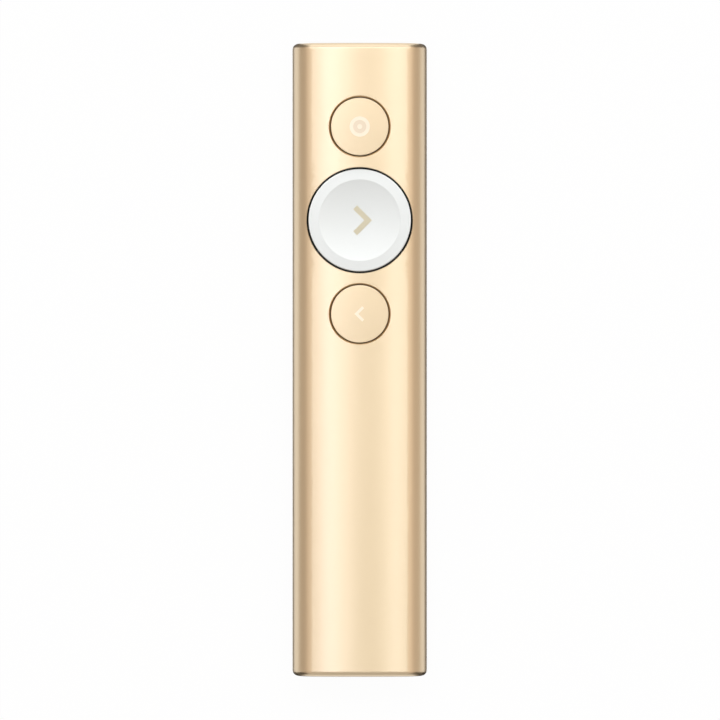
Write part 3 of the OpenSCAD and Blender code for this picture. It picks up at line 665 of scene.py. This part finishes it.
def empty_tree(owner):
    """The node tree of a material or world, cleared."""
    owner.use_nodes = True
    owner.node_tree.nodes.clear()
    return owner.node_tree


def finish(name, tones, grain_mm, rough, bump_mm, stretch=(1, 1, 1), **shader):
    """A finish whose tone, roughness and height all vary with one grain of a real size."""
    material = bpy.data.materials.new(name)
    tree = empty_tree(material)
    place = node(tree, "TexCoord").outputs["Object"]
    scaled = node(tree, "Mapping", {"Vector": place, "Scale": [s / (grain_mm * MM) for s in stretch]})
    grain = node(
        tree, "TexNoise", {"Vector": scaled.outputs[0], "Scale": 1.0, "Detail": 3.0, "Roughness": 0.55}
    )
    amount = grain.outputs["Fac"]
    ends = {6: linear(tones[0]), 7: linear(tones[1])}
    tone = node(tree, "Mix", {"Factor": amount, **ends}, data_type="RGBA")
    limits = {"From Min": 0.3, "From Max": 0.7, "To Min": rough[0], "To Max": rough[1]}
    spread = node(tree, "MapRange", {"Value": amount, **limits})
    bump = node(tree, "Bump", {"Height": amount, "Strength": 1.0, "Distance": bump_mm * MM})
    values = {"Base Color": tone.outputs[2], "Roughness": spread.outputs[0], "Normal": bump.outputs[0]}
    values.update({key.replace("_", " "): value for key, value in shader.items()})
    body = node(tree, "BsdfPrincipled", values)
    node(tree, "OutputMaterial", {"Surface": body.outputs[0]})
    return material


# Bead-blasted aluminium, anodised and dyed champagne: a satin metal with warm, broad
# reflections under a clear oxide layer that adds paler, sharper ones. The blast grain is about
# 0.05 mm; it is drawn at 0.16 mm, or it wouldn't show.
anodised_aluminium = finish(
    "champagne_anodised_aluminium", ("E0C9A4", "E3CCA8"), 0.16, (0.34, 0.4), 0.0012,
    Metallic=1.0, Coat_Weight=1.0, Coat_Roughness=0.2, Coat_IOR=1.73,
)
# The symbols on the gold caps are laser-marked: the dye is gone and paler oxide shows, duller.
marked_aluminium = finish(
    "laser_marked_aluminium", ("F6E6D1", "F2E2CD"), 0.12, (0.45, 0.6), 0.002, Metallic=0.8
)
# The field inside the ring is marked more lightly, so it is a greyer gold.
etched_aluminium = finish(
    "lightly_marked_aluminium", ("DFCEB6", "DBCAB2"), 0.12, (0.4, 0.5), 0.0015, Metallic=0.9
)
# ABS moulded in a finely sparked mould: a satin white with a faint soft sheen.
satin_white_abs = finish("satin_white_abs", ("CFD3D2", "CCD0CF"), 0.2, (0.36, 0.46), 0.001, IOR=1.53)
# Pad-printed ink on the white cap, a little duller than the plastic.
printed_ink = finish("champagne_pad_print", ("D7D1B6", "D2CBAF"), 0.15, (0.5, 0.6), 0.001, IOR=1.5)
# Black ABS from a sparked mould, with a grain of about 0.1 mm.
black_abs = finish("sparked_black_abs", ("17171A", "1E1E21"), 0.15, (0.42, 0.55), 0.004, IOR=1.53)
# Glass-filled nylon: a mid grey with pale flow marks a few millimetres long.
filled_nylon = finish(
    "glass_filled_nylon", ("45474A", "54565A"), 0.9, (0.45, 0.65), 0.006, (1, 0.3, 1), IOR=1.54
)
# Natural nylon of the stems and connector: creamy and slightly waxy.
natural_nylon = finish(
    "natural_nylon", ("E6E3DA", "DCD8CC"), 0.6, (0.35, 0.5), 0.002, IOR=1.53, Subsurface_Weight=0.1,
    Subsurface_Scale=0.001,
)
# Silicone rubber of the keypad: deep black, dull, with a talc-dusted tooth.
silicone_rubber = finish("black_silicone_rubber", ("111112", "191919"), 0.12, (0.7, 0.85), 0.006, IOR=1.41)
# Cold-rolled spring steel, nickel-plated: fine rolling lines along the strip.
rolled_steel = finish(
    "rolled_nickel_steel", ("B4B5B8", "C3C4C6"), 0.25, (0.22, 0.34), 0.0015, (1, 0.06, 1), Metallic=1.0
)
# Zinc-plated screw steel, tumbled: darker and blotchy.
plated_steel = finish("zinc_plated_steel", ("85888D", "9A9CA0"), 0.3, (0.28, 0.45), 0.003, Metallic=1.0)
# Gold-flashed brass of antenna and contacts: smooth and warm.
flashed_brass = finish("gold_flashed_brass", ("D6B262", "E0BC70"), 0.3, (0.2, 0.3), 0.001, Metallic=1.0)
# Aluminium-laminate pouch of the battery: soft crinkles about 2 mm apart.
pouch_foil = finish("aluminium_pouch_foil", ("C0C2C4", "CDCFD1"), 2.0, (0.25, 0.4), 0.03, Metallic=0.9)
# Closed-cell foam and adhesive tape: dull, with cells about 0.25 mm wide.
foam_tape = finish("closed_cell_foam", ("343537", "424345"), 0.25, (0.8, 0.95), 0.02, IOR=1.4)
# Epoxy moulding compound of the chips: black with fine silica specks.
chip_epoxy = finish("chip_epoxy", ("1A1A1B", "242425"), 0.1, (0.5, 0.65), 0.003, IOR=1.55)
# PVC insulation of the wires: smooth and a little glossy.
red_pvc = finish("red_pvc_insulation", ("9E1E1A", "AB2620"), 0.5, (0.3, 0.42), 0.002, IOR=1.54)
blue_pvc = finish("blue_pvc_insulation", ("1C3A88", "244594"), 0.5, (0.3, 0.42), 0.002, IOR=1.54)


def glass_laminate():
    """Circuit board: glass cloth under a dark green glossy solder mask."""
    thread_mm = 0.45  # from one thread of the cloth to the next
    material = bpy.data.materials.new("glass_epoxy_laminate")
    tree = empty_tree(material)
    place = node(tree, "TexCoord").outputs["Object"]
    # At scale 1 the waves come every pi / 10 of a metre.
    bands = {"Vector": place, "Scale": math.pi / 10 / (thread_mm * MM)}
    across, lengthwise = (node(tree, "TexWave", bands, bands_direction=axis).outputs["Fac"] for axis in "XY")
    cloth = node(tree, "Math", {0: across, 1: lengthwise}, operation="MULTIPLY").outputs[0]
    ends = {6: linear("122A20"), 7: linear("1B382B")}
    tone = node(tree, "Mix", {"Factor": cloth, **ends}, data_type="RGBA")
    bump = node(tree, "Bump", {"Height": cloth, "Distance": 0.004 * MM})
    values = {"Base Color": tone.outputs[2], "Roughness": 0.3, "IOR": 1.55, "Normal": bump.outputs[0]}
    body = node(tree, "BsdfPrincipled", values)
    node(tree, "OutputMaterial", {"Surface": body.outputs[0]})
    return material


board_laminate = glass_laminate()

# ---- The pieces that are made here ----

make_piece(
    "front_shell_finished", front_shell_faces(), anodised_aluminium, "case", "gold_aluminium", "front_shell"
)
rear = make_piece(
    "rear_shell_finished", rear_shell_faces(), anodised_aluminium, "case", "gold_aluminium", "rear_shell"
)
cut_notch(rear)

lip_outer, lip_half_l = HALF_W - WALL - LIP_SNUG, HALF_L - LIP_INSET
for side, name in ((-1, "left"), (1, "right")):
    x0, x1 = sorted((side * (lip_outer - LIP_T), side * lip_outer))
    lip = block((x0, -lip_half_l, SEAM_Z - LIP_DOWN), (x1, lip_half_l, SEAM_Z + LIP_UP))
    make_piece(f"rear_shell_lip_{name}", lip, anodised_aluminium, "case", "gold_aluminium")

for button, y in (("pointer", POINTER_Y), ("back", BACK_Y)):
    faces = [face for profile in small_cap_profile() for face in lathe(profile, 0, y)]
    cap, body = f"{button}_cap", f"{button}_button"
    make_piece(f"{cap}_finished", faces, anodised_aluminium, body, "gold_aluminium", cap)
faces = [face for profile in next_cap_profile() for face in lathe(profile, 0, NEXT_Y, 180)]
next_cap = make_piece("next_cap_finished", faces, satin_white_abs, "next_button", "white_satin", "next_cap")

ring_r, field_r, dot_r = 2.1, 1.37, 0.5
ring = (circle(ring_r), circle(field_r))
field = (circle(field_r), circle(dot_r))
dot = (circle(dot_r, 32), circle(0.0, 32))
forward = chevron(apex=2.55, reach=3.1, stroke=1.15, toward=1)
backward = chevron(apex=-1.1, reach=1.6, stroke=0.58, toward=-1)
symbol("next_chevron", "next", NEXT_Y, in_dish, forward, printed_ink)
symbol("back_chevron", "back", BACK_Y, on_small_cap, backward, marked_aluminium)
symbol("pointer_ring", "pointer", POINTER_Y, on_small_cap, ring, marked_aluminium)
symbol("pointer_field", "pointer", POINTER_Y, on_small_cap, field, etched_aluminium)
symbol("pointer_dot", "pointer", POINTER_Y, on_small_cap, dot, marked_aluminium)

# A snap dome is thin sprung steel, which flattens under its stem by the button's travel. Here each dome is a
# copy of its node's mesh in rolled steel, riding on the case, and it is not flattened.
for button in ("pointer", "next", "back"):
    dome_node = f"{button}_dome"
    dome = bpy.data.objects.new(f"{button}_dome_sprung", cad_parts[dome_node].data.copy())
    bpy.context.scene.collection.objects.link(dome)
    dome.data.materials.clear()
    dome.data.materials.append(rolled_steel)
    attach(dome, "case")
    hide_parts(dome_node)
    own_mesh(dome)

# ---- Finishes of the frame's own nodes ----

FINISHES = {
    anodised_aluminium: "receiver_end_cap",
    black_abs: "antenna_window bay_bezel bay_sleeve receiver_housing charge_port_tongue "
    "pointer_keyplate next_keyplate back_keyplate",
    filled_nylon: "chassis pointer_switch_base next_switch_base back_switch_base",
    natural_nylon: "pointer_stem next_stem back_stem battery_connector receiver_tongue",
    silicone_rubber: "keypad_membrane",
    rolled_steel: "button_frame pointer_switch_cover next_switch_cover "
    "back_switch_cover shield_can haptic_motor charge_port bay_spring receiver_plug_shell",
    plated_steel: "frame_screws bay_screws case_screws",
    flashed_brass: "antenna receiver_contacts",
    pouch_foil: "battery_cell",
    foam_tape: "rear_tape battery_pad motor_pad",
    chip_epoxy: "controller_chip motion_sensor receiver_chip",
    board_laminate: "main_board receiver_board",
    red_pvc: "battery_leads",
    blue_pvc: "motor_leads",
}
for material, names in FINISHES.items():
    for name in names.split():
        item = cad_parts[name]
        item.data.materials.clear()
        item.data.materials.append(material)
for name, width in (("receiver_end_cap", 0.25), ("bay_bezel", 0.12), ("antenna_window", 0.1)):
    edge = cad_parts[name].modifiers.new("edge", "BEVEL")
    edge.width = width * MM
    edge.segments = 3
    edge.limit_method = "ANGLE"
    edge.angle_limit = math.radians(50)

# ---- Floor, world, lights and camera ----


def floor_finish():
    """Plain white card, seen at its own white, with only a faint shadow."""
    glow_share = 0.96
    material = bpy.data.materials.new("white_card")
    tree = empty_tree(material)
    path = node(tree, "LightPath").outputs
    rays = {0: path["Is Camera Ray"], 1: path["Is Glossy Ray"]}
    seen = node(tree, "Math", rays, operation="MAXIMUM")
    seen = node(tree, "Math", {0: seen.outputs[0], 1: path["Is Transmission Ray"]}, operation="MAXIMUM")
    share = node(tree, "Math", {0: seen.outputs[0], 1: glow_share}, operation="MULTIPLY")
    card = node(tree, "BsdfDiffuse", {"Color": linear("F4F4F4")})
    glow = node(tree, "Emission", {"Color": (1, 1, 1, 1), "Strength": 1.0})
    both = node(tree, "MixShader", {0: share.outputs[0], 1: card.outputs[0], 2: glow.outputs[0]})
    # From below the floor is clear, so that the clicker's back can be looked at.
    below = node(tree, "NewGeometry").outputs["Backfacing"]
    clear = node(tree, "BsdfTransparent")
    sided = node(tree, "MixShader", {0: below, 1: both.outputs[0], 2: clear.outputs[0]})
    node(tree, "OutputMaterial", {"Surface": sided.outputs[0]})
    return material


FLOOR_HALF, FLOOR_Z = 3000.0, -0.05
floor_mesh = bpy.data.meshes.new("floor")
floor_corners = [(x * FLOOR_HALF, y * FLOOR_HALF, FLOOR_Z) for x, y in ((-1, -1), (1, -1), (1, 1), (-1, 1))]
floor_mesh.from_pydata([[c * MM for c in place] for place in floor_corners], [], [(0, 1, 2, 3)])
floor_mesh.materials.append(floor_finish())
floor = bpy.data.objects.new("floor", floor_mesh)
bpy.context.scene.collection.objects.link(floor)

world = bpy.data.worlds.new("studio")
bpy.context.scene.world = world
tree = empty_tree(world)
camera_ray = node(tree, "LightPath").outputs["Is Camera Ray"]
room = node(tree, "Background", {"Color": (1.0, 0.985, 0.95, 1), "Strength": 0.17})
white = node(tree, "Background", {"Color": (1, 1, 1, 1), "Strength": 1.0})
both = node(tree, "MixShader", {0: camera_ray, 1: room.outputs[0], 2: white.outputs[0]})
node(tree, "OutputWorld", {"Surface": both.outputs[0]})


def softbox(name, across, along, radiance, tint):
    """A soft lamp a metre away, unseen by the camera.

    Its edges are in degrees from straight up: across towards +X, and along towards +Y.
    """
    x_turn, y_turn = (math.radians((edges[0] + edges[1]) / 2) for edges in (across, along))
    x_half, y_half = (math.radians((edges[1] - edges[0]) / 2) for edges in (across, along))
    x_sin, x_cos, y_sin, y_cos = math.sin(x_turn), math.cos(x_turn), math.sin(y_turn), math.cos(y_turn)
    data = bpy.data.lights.new(name, "AREA")
    data.shape = "RECTANGLE"
    data.size = 2 * math.tan(x_half) * y_cos
    data.size_y = 2 * math.tan(y_half)
    data.energy = radiance * math.pi * data.size * data.size_y
    data.color = tint
    lamp = bpy.data.objects.new(name, data)
    away = Vector((x_sin * y_cos, y_sin, x_cos * y_cos))
    up = Vector((-x_sin * y_sin, y_cos, -x_cos * y_sin))
    lamp.matrix_world = Matrix((up.cross(away), up, away)).transposed().to_4x4()
    lamp.location = away
    lamp.visible_camera = False
    bpy.context.scene.collection.objects.link(lamp)
    return lamp


ICY, COOL, PALE = (0.96, 1.04, 1.28), (0.98, 1.02, 1.12), (0.97, 1.02, 1.04)
NEUTRAL, CREAM, WARM = (1.0, 1.0, 1.0), (0.98, 0.995, 0.98), (1.0, 0.83, 0.7)
# Each lamp's name, its edges across and along, its radiance and its tint
for lamp in (
    ("left_strip", (-13.1, -9), (-23, 27), 2.85, ICY),
    ("left_halo", (-14, -1.8), (-23, 27), 1.42, CREAM),
    ("left_edge", (-20, -13.1), (-23, 27), 0.12, WARM),
    ("left_side", (-46, -22), (-25, 45), 0.72, WARM),
    ("left_low", (-88, -46), (-25, 45), 0.36, WARM),
    ("right_strip", (11.2, 15.2), (-23, 27), 4.0, PALE),
    ("right_halo", (11, 21.3), (-23, 27), 0.45, CREAM),
    ("right_edge", (5, 11), (-23, 27), 0.35, CREAM),
    ("right_side", (23, 46), (-25, 45), 0.84, WARM),
    ("right_low", (46, 88), (-25, 45), 0.46, WARM),
    ("head_light", (-35, 35), (18, 29), 1.65, COOL),
    ("head_fill", (-35, 35), (29, 60), 0.9, COOL),
    ("low_head_light", (-60, 60), (60, 88), 1.45, NEUTRAL),
    ("tail_fill", (-22, 22), (-57, -23), 0.35, NEUTRAL),
    ("low_tail_light", (-88, 88), (-88, -57), 0.4, NEUTRAL),
    ("left_tail_side", (-88, -22), (-57, -25), 0.5, WARM),
    ("right_tail_side", (22, 88), (-57, -25), 0.5, WARM),
):
    softbox(*lamp)
# A low lamp from the tip's end that lights the white cap alone brings out its dish.
cap_light = softbox("cap_light", (-60, 60), (60, 88), 11.5, NEUTRAL)
only_cap = bpy.data.collections.new("white_cap")
only_cap.objects.link(next_cap)
cap_light.light_linking.receiver_collection = only_cap


def flag(name, card, *corners):
    """A dark card that only the reflections show; its corners are in millimetres."""
    mesh = bpy.data.meshes.new(name)
    mesh.from_pydata([[c * MM for c in place] for place in corners], [], [tuple(range(len(corners)))])
    mesh.materials.append(card)
    made = bpy.data.objects.new(name, mesh)
    made.visible_camera = False
    made.visible_diffuse = False
    made.visible_shadow = False
    made.visible_transmission = False
    bpy.context.scene.collection.objects.link(made)


def painted_floor_shadow(name, card, x0, x1, y0, y1):
    """A dark card on the floor that only reflections show: painted shadow beside the case."""
    z = 0.01
    flag(name, card, (x0, y0, z), (x1, y0, z), (x1, y1, z), (x0, y1, z))


# Matt painted board in two greys, seen only in reflections. As flags it darkens the metal's corners. Laid on
# the floor beside the case it is painted shadow: it stands for the floor's contact shadow, which the metal's
# edges reflect as a dark line.
black_flag_and_painted_shadow = finish("black_flag_and_painted_shadow", ("303030", "343434"), 1.0, (0.9, 1.0), 0.0, IOR=1.4)
grey_flag_and_painted_shadow = finish("grey_flag_and_painted_shadow", ("646464", "686868"), 1.0, (0.9, 1.0), 0.0, IOR=1.4)
# Painted shadow: dark strips on the floor along both sides and past the tail stand in for the shadow that
# the case casts right beside itself.
painted_floor_shadow("left_card", grey_flag_and_painted_shadow, -22, -17, -80, 80)
painted_floor_shadow("tail_painted_shadow", black_flag_and_painted_shadow, -17, 17, -75, -66)
painted_floor_shadow("right_card", grey_flag_and_painted_shadow, 17, 25, -80, 80)
# Out from each corner of the case: a fan on the floor with two upright flags along its far edge
FAN_LENGTH, FLAG_TOP, FAN_Z = 220, 110, 0.02
FAN_START = (11, 64)  # just inside the case's corner
FAN_TURNS = (0.45, 0.8, 1.15)  # from along the case to across it, in radians
CORNERS = (("left_tip", -1, 1), ("right_tip", 1, 1), ("left_tail", -1, -1), ("right_tail", 1, -1))
for name, side, end in CORNERS:
    card = grey_flag_and_painted_shadow if end > 0 else black_flag_and_painted_shadow
    near_x, near_y = side * FAN_START[0], end * FAN_START[1]
    far = []
    for turn in FAN_TURNS:
        out_x, out_y = FAN_LENGTH * math.sin(turn), FAN_LENGTH * math.cos(turn)
        far.append((near_x + side * out_x, near_y + end * out_y))
    flag(name + "_card", card, (near_x, near_y, FAN_Z), *[(*place, FAN_Z) for place in far])
    for a, b, kind in zip(far, far[1:], ("_flag", "_side_flag")):
        flag(name + kind, card, (*a, FAN_Z), (*b, FAN_Z), (*b, FLAG_TOP), (*a, FLAG_TOP))

AIM = (0.06, -0.05, 6.0)  # what the camera looks straight down at
DISTANCE = 1200.0
SPAN = 149.85  # the width of the view at the clicker
SENSOR = 36.0
camera_data = bpy.data.cameras.new("camera")
camera_data.sensor_width = SENSOR
camera_data.lens = SENSOR * DISTANCE / SPAN
camera_data.clip_start = 0.1
camera_data.clip_end = 20.0
camera = bpy.data.objects.new("camera", camera_data)
camera.location = (AIM[0] * MM, AIM[1] * MM, (AIM[2] + DISTANCE) * MM)
bpy.context.scene.collection.objects.link(camera)
bpy.context.scene.camera = camera
bpy.context.scene.view_settings.view_transform = "Standard"
